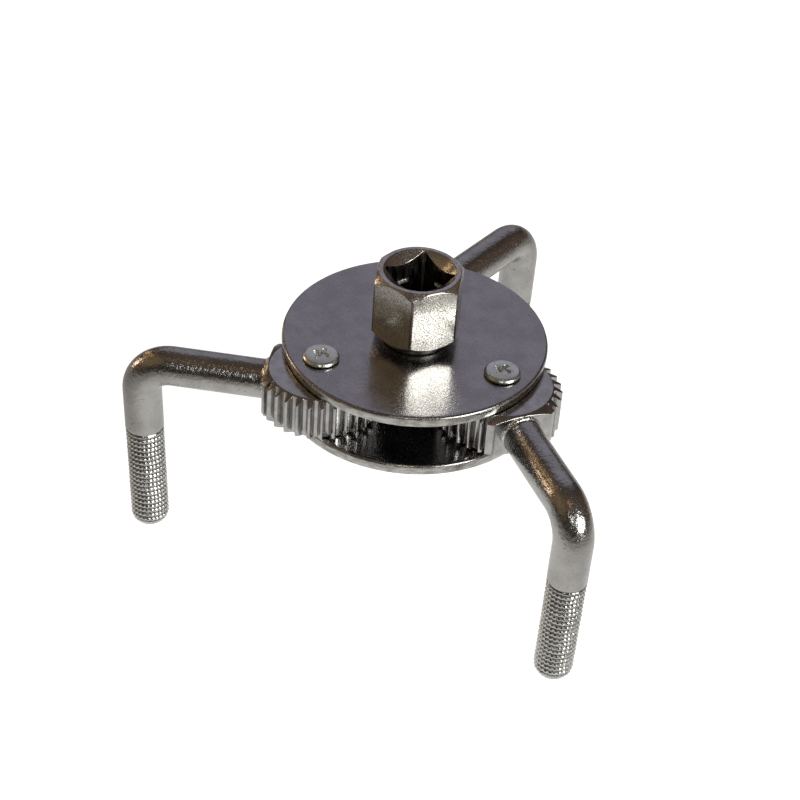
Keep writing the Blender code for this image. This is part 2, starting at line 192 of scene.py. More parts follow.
BODY_OF = {}
for body, nodes in frame["record"]["behaviour"]["bodies"].items():
    for node in nodes:
        BODY_OF[node] = body
PIVOTS = {}
for joint in frame["joints"]:
    if joint["child"].startswith("jaw"):
        PIVOTS[int(joint["child"][-1])] = Vector(joint["pos_m"]) / MM
LEG_ANGLES = {}
for number, pivot in PIVOTS.items():
    outwards = mount(f"leg_tip_{number}") - pivot
    LEG_ANGLES[number] = math.atan2(outwards.y, outwards.x)

CENTRE_DISTANCE = PIVOTS[1].xy.length
MODULE = 2.0 * CENTRE_DISTANCE / (SUN_TEETH + PLANET_TEETH)
DEDENDUM = 1.3 * MODULE
GEAR_TOP = high("planet_gear_1")
GEAR_BOTTOM = low("planet_gear_1")
RUNNING_LEVEL = (GEAR_TOP + GEAR_BOTTOM) / 2.0
LEG_TIP = mount("leg_tip_1").z
LEG_ARM = LEG_REACH - LEG_BEND_RADIUS * math.tan(LEG_BEND / 2.0) - BOSS_FLAT
LEG_CURVE = LEG_BEND_RADIUS * LEG_BEND


# Mesh tools

def piece(name, points, faces, node, sharp_angle=32.0):
    """Make a shaded object from points in millimetres and hand it to the frame."""
    mesh = bpy.data.meshes.new(name)
    mesh.from_pydata((np.asarray(points) * MM).tolist(), [], faces)
    mesh.update()
    mesh.shade_smooth()
    mesh.set_sharp_from_angle(angle=math.radians(sharp_angle))
    obj = bpy.data.objects.new(name, mesh)
    bpy.context.scene.collection.objects.link(obj)
    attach(obj, BODY_OF[node])
    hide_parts(node)
    return obj


def bands(rings, closed=False, first=0):
    """Quads between equal rings of points that each run round a full turn."""
    rows, count = rings.shape[:2]
    index = first + np.arange(rows * count).reshape(rows, count)
    lower = index if closed else index[:-1]
    upper = np.roll(index, -1, axis=0) if closed else index[1:]
    quads = [lower, np.roll(lower, -1, axis=1), np.roll(upper, -1, axis=1), upper]
    return np.stack(quads, axis=-1).reshape(-1, 4).tolist()


def fan(ring_start, count, centre, flip=False):
    """Triangles that close a ring of points on to a centre point."""
    faces = []
    for i in range(count):
        a = ring_start + i
        b = ring_start + (i + 1) % count
        faces.append((b, a, centre) if flip else (a, b, centre))
    return faces


def skin(rings, bottom=None, top=None):
    """Points and faces of a stack of rings; bottom and top are points that close its ends."""
    rows, count = rings.shape[:2]
    points = rings.reshape(-1, 3)
    faces = bands(rings, closed=bottom is None)
    if bottom is not None:
        points = np.vstack([points, bottom, top])
        faces += fan(0, count, rows * count, flip=True)
        faces += fan((rows - 1) * count, count, rows * count + 1)
    return points, faces


def round_angles(count):
    """Evenly spread angles of a full turn."""
    return np.arange(count) * TURN / count


def profile_rings(profile, angles):
    """Rings of points from a profile of (radius, height) values or arrays along the angles."""
    rings = []
    for radius, height in profile:
        radius = np.broadcast_to(radius, angles.shape)
        height = np.broadcast_to(height, angles.shape)
        rings.append(np.stack([radius * np.cos(angles), radius * np.sin(angles), height], axis=-1))
    return np.array(rings)


def softened(profile, steps=3):
    """Round the corners of a profile of (radius, height, reach), each over its own reach."""
    spots = []
    for radius, height, _ in profile:
        pair = np.broadcast_arrays(np.atleast_1d(radius), np.atleast_1d(height))
        spots.append(np.array(pair, float))
    result = [spots[0]]
    for k in range(1, len(spots) - 1):
        corner, reach = spots[k], profile[k][2]
        if not reach:
            result.append(corner)
            continue
        ends = []
        for other in (spots[k - 1], spots[k + 1]):
            away = other - corner
            share = np.minimum(reach / np.maximum(np.hypot(away[0], away[1]), 1e-9), 0.45)
            ends.append(corner + away * share)
        for s in np.linspace(0.0, 1.0, steps + 1):
            result.append((1 - s) ** 2 * ends[0] + 2 * s * (1 - s) * corner + s ** 2 * ends[1])
    result.append(spots[-1])
    return [(spot[0], spot[1]) for spot in result]


def turned_piece(node, profile, centre=(0.0, 0.0), closed=False, count=96):
    """A turned part with softened corners; an open profile starts and ends on the axis."""
    inner = profile if closed else profile[1:-1]
    if closed:
        looped = [inner[-1]] + inner + [inner[0]]
        soft = softened(looped)[1:-1]
    else:
        soft = softened(profile)[1:-1]
    rings = profile_rings(soft, round_angles(count))
    rings[..., 0] += centre[0]
    rings[..., 1] += centre[1]
    bottom = None if closed else (centre[0], centre[1], profile[0][1])
    top = None if closed else (centre[0], centre[1], profile[-1][1])
    points, faces = skin(rings, bottom, top)
    return piece(f"{node}_skin", points, faces, node)


def ripple(points, size, seed):
    """Smooth noise between -1 and 1 at each point, with bumps of about the given size."""
    shift = Vector((seed * 3.7, seed * 1.9, seed * 5.3))
    return np.array([noise.noise(Vector(p) / size + shift) for p in points.reshape(-1, 3)])


def ring_noise(angles, size, level):
    """Smooth noise round a circle, with more waves the larger its size."""
    spots = [Vector((math.cos(a) * size, math.sin(a) * size, level)) for a in angles]
    return np.array([noise.noise(spot) for spot in spots])


def polygon_radius(angles, sides, half_width, corner, vertex_angle):
    """Distance from the centre to a regular polygon with rounded corners, along each angle."""
    sector = TURN / sides
    from_vertex = np.abs((angles - vertex_angle + sector / 2.0) % sector - sector / 2.0)
    from_middle = sector / 2.0 - from_vertex
    inner = half_width - corner
    centre = inner / math.cos(sector / 2.0)
    inside = np.maximum(corner ** 2 - (centre * np.sin(from_vertex)) ** 2, 0.0)
    arc = centre * np.cos(from_vertex) + np.sqrt(inside)
    on_flat = half_width * np.tan(from_middle) < inner * math.tan(sector / 2.0)
    return np.where(on_flat, half_width / np.cos(from_middle), arc)


# Drive head

def head_angles():
    """Angles round the drive head, close together at its corners and at the detent edges."""
    angles = list(np.arange(0.0, 360.0, 2.0))
    vertex = math.degrees(HEX_VERTEX_ANGLE)
    for k in range(6):
        angles += list(vertex + 60.0 * k + np.linspace(-2.4, 2.4, 17))
    for k in range(4):
        angles += list(45.0 + 90.0 * k + np.linspace(-2.4, 2.4, 13))
        edge = math.degrees(math.atan(DETENT_HALF_WIDTH / SOCKET_HALF_WIDTH))
        for side in (-edge, edge):
            angles += [90.0 * k + side - 0.4, 90.0 * k + side + 0.4]
    angles = np.unique(np.round(np.array(angles) % 360.0, 3))
    spaced = np.concatenate([[True], np.diff(angles) > 0.12])
    return np.radians(angles[spaced])


def make_drive_head():
    """Chamfered hexagon with its square socket and stem, as one skin."""
    angles = head_angles()
    top, end = high("drive_head"), low("drive_head")
    seat = high("upper_thrust_washer") + GAP
    hexagon = polygon_radius(angles, 6, HEX_HALF_WIDTH, HEX_EDGE, HEX_VERTEX_ANGLE)
    square = polygon_radius(angles, 4, SOCKET_HALF_WIDTH, SOCKET_CORNER, math.pi / 4.0)
    stem = polygon_radius(angles, 4, STEM_HALF_WIDTH, 0.4, math.pi / 4.0)
    stem = np.minimum(stem, JOURNAL_RADIUS - 0.02)
    top_edge = top - (hexagon - HEX_TOP_FLAT) * HEX_CHAMFER_SLOPE
    bottom_edge = seat + (hexagon - HEX_BOTTOM_FLAT) * HEX_CHAMFER_SLOPE
    mouth = np.minimum(square, COUNTERSINK_RADIUS - 0.05)
    mouth_level = top - (COUNTERSINK_RADIUS - mouth) * COUNTERSINK_SLOPE
    outside = [
        (0.0, end, 0.0),
        (LOWER_JOURNAL_RADIUS - 0.6, end, 0.2),
        (LOWER_JOURNAL_RADIUS, end + 0.6, 0.2),
        (LOWER_JOURNAL_RADIUS, GROOVE_BOTTOM, 0.1),
        (GROOVE_RADIUS, GROOVE_BOTTOM, 0.1),
        (GROOVE_RADIUS, GROOVE_TOP, 0.1),
        (LOWER_JOURNAL_RADIUS, GROOVE_TOP, 0.1),
        (LOWER_JOURNAL_RADIUS, GEAR_BOTTOM, 0.1),
        (stem, GEAR_BOTTOM, 0.1),
        (stem, GEAR_TOP, 0.1),
        (JOURNAL_RADIUS, GEAR_TOP, 0.1),
        (JOURNAL_RADIUS, seat, 0.1),
        (HEX_BOTTOM_FLAT, seat, 0.25),
        (hexagon, bottom_edge, 0.22),
        (hexagon, top_edge, 0.22),
        (HEX_TOP_FLAT, top, 0.16),
        (COUNTERSINK_RADIUS, top, 0.14),
        (mouth, mouth_level, 0.14),
        (square, 0.0, 0.0),
    ]
    soft = softened(outside)[1:-1]
    wall_top = soft[-1][1]
    for share in np.linspace(0.0, 1.0, 13)[1:]:
        level = wall_top + (DETENT_LEVEL + DETENT_HALF_HEIGHT + 0.12 - wall_top) * share
        soft.append((square, level))
    for level, depth in detent_rows():
        soft.append((square + depth * detent_mask(angles), level))
    soft.append((square, 2.0))
    soft.append((square, 0.3))
    soft.append((square - 0.3, 0.0))
    rings = profile_rings(soft, angles)
    points, faces = skin(rings, (0.0, 0.0, end), (0.0, 0.0, 0.0))
    worn = ripple(points, 1.3, 1) * 0.035 + ripple(points, 0.45, 2) * 0.012
    outer = np.hypot(points[:, 0], points[:, 1]) > 8.9
    above = points[:, 2] > seat + 0.3
    points[:, 2] += np.where(outer & above, worn, 0.0)
    return piece("drive_head_skin", points, faces, "drive_head")


def detent_rows():
    """Levels and depths of the rows that shape the detent slots, from above."""
    lip = DETENT_LEVEL + DETENT_HALF_HEIGHT
    sill = DETENT_LEVEL - DETENT_HALF_HEIGHT
    return [
        (lip, DETENT_DEPTH),
        (DETENT_LEVEL, DETENT_DEPTH),
        (sill + 0.45, DETENT_DEPTH * 0.8),
        (sill, 0.0),
    ]


def detent_mask(angles):
    """One inside the width of the detent slots and zero elsewhere."""
    from_middle = (angles + math.pi / 4.0) % (math.pi / 2.0) - math.pi / 4.0
    across = SOCKET_HALF_WIDTH * np.tan(from_middle)
    return np.where(np.abs(across) < DETENT_HALF_WIDTH, 1.0, 0.0)


# Plates

def hole_ring(centre, radius, count):
    """Points of a hole's edge in the XY plane."""
    angles = round_angles(count)
    return np.stack([centre[0] + radius * np.cos(angles), centre[1] + radius * np.sin(angles)], axis=-1)


def plate_cap(bm, rings):
    """Fill the flat face between an outer ring and its holes."""
    edges = []
    for ring in rings:
        for i in range(len(ring)):
            edges.append(bm.edges.get((ring[i - 1], ring[i])))
    bmesh.ops.triangle_fill(bm, use_beauty=True, use_dissolve=False, edges=edges)


def make_plate(node, centre_hole, pivot_hole, seed):
    """A blanked round plate: rolled upper edge, sheared wall with a torn lower edge, and holes."""
    bottom, top = low(node), high(node)
    count = 360
    angles = round_angles(count)
    torn = ring_noise(angles, 9.0, seed)
    fine = ring_noise(angles, 40.0, seed)
    burr = 0.08 + 0.07 * torn + 0.05 * fine
    rim = PLATE_RADIUS + 0.02 * torn
    profile = [
        (PLATE_RADIUS - 1.6, bottom),
        (PLATE_RADIUS - 0.5, bottom),
        (rim - 0.16, bottom + burr * 0.3),
        (rim - 0.05, bottom + 0.25 + burr),
        (rim - 0.03, bottom + 0.7 + burr * 2.0),
        (rim, bottom + 0.95 + burr * 2.0),
        (rim, top - 0.95),
        (rim - 0.03, top - 0.55),
        (rim - 0.14, top - 0.26),
        (rim - 0.36, top - 0.09),
        (rim - 0.62, top - 0.02),
        (PLATE_RADIUS - 0.95, top),
        (PLATE_RADIUS - 1.6, top),
    ]
    bm = bmesh.new()
    walls = [profile_rings(profile, angles)]
    holes = [((0.0, 0.0), centre_hole)] + [(p.xy, pivot_hole) for p in PIVOTS.values()]
    for centre, radius in holes:
        edge = hole_ring(centre, radius, HOLE_STEPS)
        wide = hole_ring(centre, radius + 0.2, HOLE_STEPS)
        margin = hole_ring(centre, radius + 0.5, HOLE_STEPS)
        stack = [
            (margin, bottom),
            (wide, bottom),
            (edge, bottom + 0.2),
            (edge, top - 0.2),
            (wide, top),
            (margin, top),
        ]
        walls.append(np.array([np.column_stack([ring, np.full(len(ring), z)]) for ring, z in stack]))
    rings = [[[bm.verts.new(p * MM) for p in ring] for ring in wall] for wall in walls]
    for wall in rings:
        for lower, upper in zip(wall, wall[1:]):
            for i in range(len(lower)):
                bm.faces.new((lower[i - 1], lower[i], upper[i], upper[i - 1]))
    for end in (0, -1):
        plate_cap(bm, [wall[end] for wall in rings])
    bmesh.ops.recalc_face_normals(bm, faces=bm.faces)
    mesh = bpy.data.meshes.new(f"{node}_skin")
    bm.to_mesh(mesh)
    bm.free()
    points = [v.co / MM for v in mesh.vertices]
    faces = [tuple(p.vertices) for p in mesh.polygons]
    bpy.data.meshes.remove(mesh)
    return piece(f"{node}_skin", points, faces, node, sharp_angle=40.0)


# Gears

def involute(angle):
    """The involute function of an angle."""
    return np.tan(angle) - angle


def half_tooth_angle(radius, pitch_radius):
    """Half the angle that a tooth fills at a radius."""
    thickness = math.pi * MODULE / 2.0 - BACKLASH / 2.0
    base_radius = pitch_radius * math.cos(PRESSURE_ANGLE)
    roll = np.arccos(np.minimum(1.0, base_radius / radius))
    return thickness / 2.0 / pitch_radius + involute(PRESSURE_ANGLE) - involute(roll)


def half_tooth(pitch_radius, pitch_angle):
    """(radius, angle) points from the middle of a tooth's tip to the middle of the gap."""
    tip = pitch_radius + MODULE
    root = pitch_radius - DEDENDUM
    tip_angle = half_tooth_angle(tip, pitch_radius)
    land = [(tip, 0.0), (tip, tip_angle - 0.16 / tip), (tip - 0.03, tip_angle - 0.06 / tip)]
    radii = np.linspace(tip - 0.12, root + 0.4, 6)
    flank = [(r, float(half_tooth_angle(r, pitch_radius))) for r in radii]
    foot = flank[-1][1]
    fillet = [
        (root + 0.18, foot + 0.07 / root),
        (root + 0.05, foot + 0.18 / root),
        (root, foot + 0.34 / root),
    ]
    return land + flank + fillet + [(root, pitch_angle / 2.0)]


def gear_outline(teeth, pitch_radius, phase, missing=0):
    """Polar outline of a gear whose missing teeth are centred on angle zero."""
    pitch_angle = TURN / teeth
    half = half_tooth(pitch_radius, pitch_angle)
    one = [(r, -a) for r, a in reversed(half)] + half[1:]
    outline = []
    for i in range(teeth - missing):
        outline += [(r, a + phase + pitch_angle * i) for r, a in one[:-1]]
    return outline


def boss_outline():
    """Polar outline of the planet's toothless stretch, a flat seat with rounded shoulders."""
    tip_radius = PLANET_TEETH * MODULE / 2.0 + MODULE
    arc_end = math.pi * MISSING_TEETH / PLANET_TEETH
    angles = np.linspace(-arc_end, arc_end, 49)
    radii = np.minimum(tip_radius, BOSS_FLAT / np.cos(angles))
    return [(float(r), float(a)) for r, a in zip(radii, angles)]


def gear_rings(outline, bore, chamfer=None):
    """Rings of a gear from its bore out over its lower face, teeth and upper face."""
    radii = np.array([r for r, _ in outline])
    angles = np.array([a for _, a in outline])
    bore = np.broadcast_to(bore, angles.shape)
    if chamfer:
        face, slope = chamfer
        drop = (radii - face) * slope
    else:
        face, drop = radii - 0.15, 0.12
    edge = 0.14
    profile = [
        (bore + 0.3, GEAR_BOTTOM, 0.0),
        (face, GEAR_BOTTOM, edge),
        (radii, GEAR_BOTTOM + drop, edge),
        (radii, GEAR_TOP - drop, edge),
        (face, GEAR_TOP, edge),
        (bore + 0.3, GEAR_TOP, 0.0),
    ]
    soft = softened(profile)
    soft.append((bore, np.full(angles.shape, GEAR_TOP - 0.3)))
    soft.append((bore, np.full(angles.shape, GEAR_BOTTOM + 0.3)))
    return profile_rings(soft, angles)


def make_sun_gear():
    """Central gear on the square of the stem."""
    planet_pitch = TURN / PLANET_TEETH
    pivot_angle = math.atan2(PIVOTS[1].y, PIVOTS[1].x)
    planet_lead = LEG_ANGLES[1] - pivot_angle + planet_pitch / 2.0 - math.pi
    phase = pivot_angle - planet_lead * PLANET_TEETH / SUN_TEETH + math.pi / SUN_TEETH
    outline = gear_outline(SUN_TEETH, SUN_TEETH * MODULE / 2.0, phase)
    angles = np.array([a for _, a in outline])
    bore = polygon_radius(angles, 4, STEM_HALF_WIDTH + GAP, 0.3, math.pi / 4.0)
    points, faces = skin(gear_rings(outline, bore))
    return piece("sun_gear_skin", points, faces, "sun_gear")


def make_planet_gear(number):
    """Toothed sector with dished edges and the smooth seat of its leg."""
    pitch_radius = PLANET_TEETH * MODULE / 2.0
    first_tooth = math.pi * (MISSING_TEETH + 1) / PLANET_TEETH
    teeth = gear_outline(PLANET_TEETH, pitch_radius, first_tooth, MISSING_TEETH)
    outline = boss_outline() + teeth
    rings = gear_rings(outline, PLANET_BORE_RADIUS, (PLANET_FACE_RADIUS, PLANET_CHAMFER_SLOPE))
    points, faces = skin(rings)
    points = placed(points, number)
    node = f"planet_gear_{number}"
    return piece(f"{node}_skin", points, faces, node)


def placed(points, number):
    """Carry points from a jaw's own frame, with its leg along +X, to the row frame."""
    turn = Matrix.Rotation(LEG_ANGLES[number], 3, "Z")
    moved = points @ np.array(turn).T
    return moved + np.array([PIVOTS[number].x, PIVOTS[number].y, 0.0])


# Legs

def leg_path(length):
    """Place and pitch on the leg's centre line, at a length from the boss flat."""
    if length <= LEG_ARM:
        return BOSS_FLAT + length, RUNNING_LEVEL, 0.0
    if length <= LEG_ARM + LEG_CURVE:
        turn = (length - LEG_ARM) / LEG_BEND_RADIUS
        x = BOSS_FLAT + LEG_ARM + LEG_BEND_RADIUS * math.sin(turn)
        return x, RUNNING_LEVEL - LEG_BEND_RADIUS * (1.0 - math.cos(turn)), turn
    drop = length - LEG_ARM - LEG_CURVE
    x = BOSS_FLAT + LEG_ARM + LEG_BEND_RADIUS * math.sin(LEG_BEND) + drop * math.cos(LEG_BEND)
    z = RUNNING_LEVEL - LEG_BEND_RADIUS * (1.0 - math.cos(LEG_BEND)) - drop * math.sin(LEG_BEND)
    return x, z, LEG_BEND


def leg_length_at(level):
    """Length along the leg at which its centre line is at a height on the vertical part."""
    curve_end = RUNNING_LEVEL - LEG_BEND_RADIUS * (1.0 - math.cos(LEG_BEND))
    return LEG_ARM + LEG_CURVE + (curve_end - level) / math.sin(LEG_BEND)


def knurl(length, around, start, end, number):
    """How far the knurl sinks the surface, from 0 on a pad to 1 in a groove crossing."""
    rows = (length - start) / KNURL_PITCH
    columns = around / TURN * KNURL_COLUMNS + 0.12 * math.sin(rows * 0.9 + number)
    drift = 0.07 * np.sin(around * 2.0 + number)
    ridge = 1.0 - np.abs(2.0 * ((rows + drift) % 1.0) - 1.0) ** 1.3
    fade = min(1.0, max(0.0, (length - start) / (1.6 * KNURL_PITCH)))
    land = np.abs(np.sin(math.pi * columns)) ** 0.45
    land = 1.0 - (1.0 - land) * fade
    closing = min(1.0, max(0.0, (end - length) / 0.6))
    return (1.0 - ridge * land) * closing


def make_leg(number):
    """Bent round bar with a weld bead at its root and a knurled grip down to its rounded tip."""
    count = KNURL_COLUMNS * 8
    around = round_angles(count)
    start, end = leg_length_at(KNURL_TOPS[number]), leg_length_at(LEG_TIP)
    grip_end = end - KNURL_END_MARGIN
    plain = np.concatenate([np.linspace(-LEG_INSET, 2.6, 12), np.linspace(3.0, start - 0.3, 72)])
    rows = int(round((grip_end - start) / KNURL_PITCH))
    gripped = start + (grip_end - start) * np.arange(rows * 8 + 1) / (rows * 8)
    rings, relief = [], []
    for length in np.concatenate([plain, gripped]):
        x, z, pitch = leg_path(length)
        into_tip = max(0.0, length - (end - LEG_TIP_ROUND))
        radius = LEG_RADIUS - LEG_TIP_ROUND + math.sqrt(max(LEG_TIP_ROUND ** 2 - into_tip ** 2, 0.0))
        sunk = np.zeros(count)
        if length >= start:
            sunk = knurl(length, around, start, grip_end, number)
        bead = math.exp(-((length - BEAD_CENTRE) / BEAD_WIDTH) ** 2)
        lumps = ring_noise(around, 2.2, number + length)
        radii = radius - KNURL_DEPTH * sunk + bead * (0.3 + 0.3 * np.sin(around) + 0.4 * lumps)
        across = radii * np.cos(around)
        up = radii * np.sin(around)
        ring = np.stack([x + up * math.sin(pitch), across, z + up * math.cos(pitch)], axis=-1)
        rings.append(ring)
        relief.append(sunk - bead)
    x, z, pitch = leg_path(end)
    for share in (0.97, 0.8, 0.55, 0.3):
        face = (LEG_RADIUS - LEG_TIP_ROUND) * share
        dome = 0.25 * share ** 2
        ring = []
        for a in around:
            up = face * math.sin(a)
            ring.append((x + up * math.sin(pitch), face * math.cos(a), z + up * math.cos(pitch) + dome))
        rings.append(np.array(ring))
        relief.append(np.zeros(count))
    first = leg_path(-LEG_INSET)
    points, faces = skin(np.array(rings), (first[0], 0.0, first[1]), (x, 0.0, z))
    points = placed(points, number)
    node = f"leg_{number}"
    obj = piece(f"{node}_skin", points, faces, node, sharp_angle=60.0)
    shade = obj.data.attributes.new("relief", "FLOAT", "POINT")
    values = np.concatenate(relief + [np.zeros(2)])
    shade.data.foreach_set("value", values.astype(np.float32))
    return obj


# Posts, screws, washers and ring

def make_post(number):
    """Shouldered post with a riveted head under the lower plate."""
    node = f"pivot_post_{number}"
    bottom, top = low(node), high(node)
    head_top = bottom + RIVET_HEAD_HEIGHT
    shoulder = GEAR_BOTTOM
    profile = [
        (0.0, bottom, 0.0),
        (1.2, bottom, 0.3),
        (RIVET_HEAD_RADIUS * 0.72, bottom + 0.1, 0.7),
        (RIVET_HEAD_RADIUS, bottom + RIVET_HEAD_HEIGHT * 0.6, 0.4),
        (RIVET_HEAD_RADIUS, head_top, 0.08),
        (POST_STUB_RADIUS, head_top, 0.08),
        (POST_STUB_RADIUS, shoulder, 0.08),
        (POST_RADIUS, shoulder, 0.15),
        (POST_RADIUS, top, 0.25),
        (SCREW_SHANK_RADIUS + GAP, top, 0.1),
        (SCREW_SHANK_RADIUS + GAP, top - SCREW_BORE_DEPTH, 0.1),
        (0.0, top - SCREW_BORE_DEPTH, 0.0),
    ]
    return turned_piece(node, profile, PIVOTS[number].xy, count=72)


def make_screw(number, turn):
    """Pan-head screw with a pressed cross recess."""
    node = f"plate_screw_{number}"
    seat, end = high(node) - SCREW_HEAD_HEIGHT, low(node)
    top = high(node)
    angles = round_angles(160)
    shank = [
        (0.0, end, 0.0),
        (SCREW_SHANK_RADIUS - 0.4, end, 0.1),
        (SCREW_SHANK_RADIUS, end + 0.5, 0.1),
        (SCREW_SHANK_RADIUS, seat, 0.1),
        (SCREW_HEAD_RADIUS - 0.1, seat, 0.1),
        (SCREW_HEAD_RADIUS, seat + 0.15, 0.1),
        (SCREW_HEAD_RADIUS, seat + 0.45, 0.28),
        (SCREW_HEAD_RADIUS * 0.9, top - crown(SCREW_HEAD_RADIUS * 0.9), 0.3),
        (SCREW_HEAD_RADIUS * 0.78, top - crown(SCREW_HEAD_RADIUS * 0.78), 0.0),
    ]
    rings = list(profile_rings(softened(shank, steps=5)[1:], angles))
    for radius in np.arange(SCREW_HEAD_RADIUS * 0.76, 0.05, -0.08):
        x, y = radius * np.cos(angles), radius * np.sin(angles)
        along = np.maximum(np.abs(x), np.abs(y))
        across = np.minimum(np.abs(x), np.abs(y))
        arm = smooth((RECESS_ARM - along) / 0.55)
        slot_half = RECESS_HALF_WIDTH + 0.12 * smooth((0.9 - along) / 0.5)
        flank = smooth((slot_half + 0.1 - across) / 0.24)
        depth = RECESS_DEPTH * arm * flank
        rings.append(np.stack([x, y, top - crown(radius) - depth], axis=-1))
    middle = top - RECESS_DEPTH
    points, faces = skin(np.array(rings), (0.0, 0.0, end), (0.0, 0.0, middle))
    spin = Matrix.Rotation(turn, 3, "Z")
    points = points @ np.array(spin).T + np.array([PIVOTS[number].x, PIVOTS[number].y, 0.0])
    return piece(f"{node}_skin", points, faces, node, sharp_angle=50.0)


def crown(radius):
    """How far a screw head's dome has fallen at a radius."""
    return 0.42 * (radius / SCREW_HEAD_RADIUS) ** 2


def smooth(value):
    """Smooth step from 0 to 1 as the value goes from 0 to 1."""
    value = np.clip(value, 0.0, 1.0)
    return value * value * (3.0 - 2.0 * value)


def make_washer(node, inner):
    """Flat washer with softened edges."""
    bottom, top, outer = low(node), high(node), high(node, 0)
    profile = [(inner, bottom, 0.15), (outer, bottom, 0.25), (outer, top, 0.25), (inner, top, 0.15)]
    return turned_piece(node, profile, closed=True)


def make_retaining_ring():
    """Open spring ring in the groove near the end of the stem."""
    node = "retaining_ring"
    bottom, top = low(node), high(node)
    inner, outer = GROOVE_RADIUS + GAP, high(node, 1)
    angles = np.linspace(RING_OPENING / 2.0, TURN - RING_OPENING / 2.0, 97)
    edge = 0.12
    section = []
    for radius, level, side_r, side_z in (
        (inner, bottom, 1, 1), (outer, bottom, -1, 1), (outer, top, -1, -1), (inner, top, 1, -1)
    ):
        spots = [(radius, level + side_z * edge), (radius + side_r * edge, level)]
        section += spots if side_r * side_z > 0 else spots[::-1]
    points = []
    for a in angles:
        for radius, level in section:
            points.append((radius * math.cos(a), radius * math.sin(a), level))
    size = len(section)
    faces = []
    for row in range(len(angles) - 1):
        for i in range(size):
            j = (i + 1) % size
            faces.append((row * size + i, row * size + j, (row + 1) * size + j, (row + 1) * size + i))
    faces.append(tuple(reversed(range(size))))
    faces.append(tuple(range((len(angles) - 1) * size, len(angles) * size)))
    return piece(f"{node}_skin", points, faces, node)


# Materials

def mixed(tree, factor, first, second):
    """Mix two colours by a factor; a colour is three numbers or another node's output."""
    node = tree.nodes.new("ShaderNodeMix")
    node.data_type = "RGBA"
    tree.links.new(factor, node.inputs[0])
    for index, value in ((6, first), (7, second)):
        if isinstance(value, bpy.types.NodeSocket):
            tree.links.new(value, node.inputs[index])
        else:
            node.inputs[index].default_value = (*value, 1.0)
    return node.outputs[2]


class Finish:
    """A metal material and short ways to add nodes to it."""

    def __init__(self, name, colour, roughness):
        self.material = bpy.data.materials.new(name)
        self.material.use_nodes = True
        self.tree = self.material.node_tree
        self.shader = self.tree.nodes["Principled BSDF"]
        self.shader.inputs["Metallic"].default_value = 1.0
        self.shader.inputs["Base Color"].default_value = (*colour, 1.0)
        self.shader.inputs["Roughness"].default_value = roughness
        self.place = self.add("ShaderNodeTexCoord").outputs["Object"]
        self.normal = None

    def add(self, kind, sockets=None, **settings):
        """Add a node, set its properties, and set or link its sockets."""
        node = self.tree.nodes.new(kind)
        for key, value in settings.items():
            setattr(node, key, value)
        for key, value in (sockets or {}).items():
            if isinstance(value, bpy.types.NodeSocket):
                self.tree.links.new(value, node.inputs[key])
            else:
                node.inputs[key].default_value = value
        return node

    def link(self, output, socket):
        """Drive one of the shader's sockets."""
        self.tree.links.new(output, self.shader.inputs[socket])

    def grain(self, size, stretch=(1.0, 1.0, 1.0), detail=2.0, rough=0.5, seed=0.0, warp=0.0):
        """Noise whose blobs are about the given size in millimetres, drawn out along an axis."""
        scale = [1.0 / (size * MM * s) for s in stretch]
        mapped = self.add("ShaderNodeMapping", {"Vector": self.place, "Scale": scale,
                                                "Location": (seed, seed * 0.7, seed * 1.3)})
        sockets = {"Vector": mapped.outputs["Vector"], "Scale": 1.0, "Detail": detail,
                   "Roughness": rough, "Distortion": warp}
        return self.add("ShaderNodeTexNoise", sockets).outputs["Fac"]

    def span(self, value, start, end, bottom, top, kind="SMOOTHSTEP"):
        """Carry a value from one range to another."""
        sockets = {"Value": value, "From Min": start, "From Max": end, "To Min": bottom, "To Max": top}
        return self.add("ShaderNodeMapRange", sockets, interpolation_type=kind).outputs["Result"]

    def maths(self, operation, first, second):
        """Combine two values."""
        return self.add("ShaderNodeMath", {0: first, 1: second}, operation=operation).outputs[0]

    def blend(self, factor, first, second):
        """Mix two colours."""
        return mixed(self.tree, factor, first, second)

    def mottle(self, value, start, end, first, second):
        """Go from one colour to another as a value goes from start to end."""
        return self.blend(self.span(value, start, end, 0.0, 1.0), first, second)

    def bump(self, height, depth, strength=1.0):
        """Lay one more relief, with its depth in millimetres, over those added so far."""
        sockets = {"Height": height, "Distance": depth * MM, "Strength": strength}
        if self.normal:
            sockets["Normal"] = self.normal
        self.normal = self.add("ShaderNodeBump", sockets).outputs["Normal"]
        self.link(self.normal, "Normal")


def plate_finish(name, grain_depth, roughest):
    """Cold-rolled and plated sheet: satin, cloudy, with fine grain and a few pits."""
    finish = Finish(name, (0.40, 0.395, 0.40), roughest)
    streaks = finish.grain(1.2, (9.0, 1.0, 1.0), detail=3.0, seed=4.0, warp=0.6)
    cloud = finish.grain(6.0, detail=5.0, rough=0.6, seed=9.0)
    streaked = finish.span(streaks, 0.35, 0.65, 0.0, 0.2)
    clouded = finish.span(cloud, 0.35, 0.65, 0.0, 0.8)
    tone = finish.maths("ADD", streaked, clouded)
    pits = finish.span(finish.grain(0.6, detail=1.0, seed=17.0), 0.73, 0.78, 0.0, 1.0)
    colour = finish.blend(tone, (0.33, 0.325, 0.33), (0.43, 0.42, 0.425))
    finish.link(finish.blend(pits, colour, (0.20, 0.19, 0.19)), "Base Color")
    specks = finish.span(finish.grain(0.28, detail=1.0, seed=21.0), 0.46, 0.62, 0.0, 0.17)
    satin = finish.span(tone, 0.0, 1.0, roughest - 0.05, roughest)
    finish.link(finish.maths("ADD", satin, specks), "Roughness")
    finish.bump(finish.grain(0.55, detail=2.0, seed=2.0), grain_depth)
    finish.bump(finish.grain(0.3, detail=1.0, seed=6.0), grain_depth * 0.4)
    finish.bump(pits, -0.02)
    return finish.material


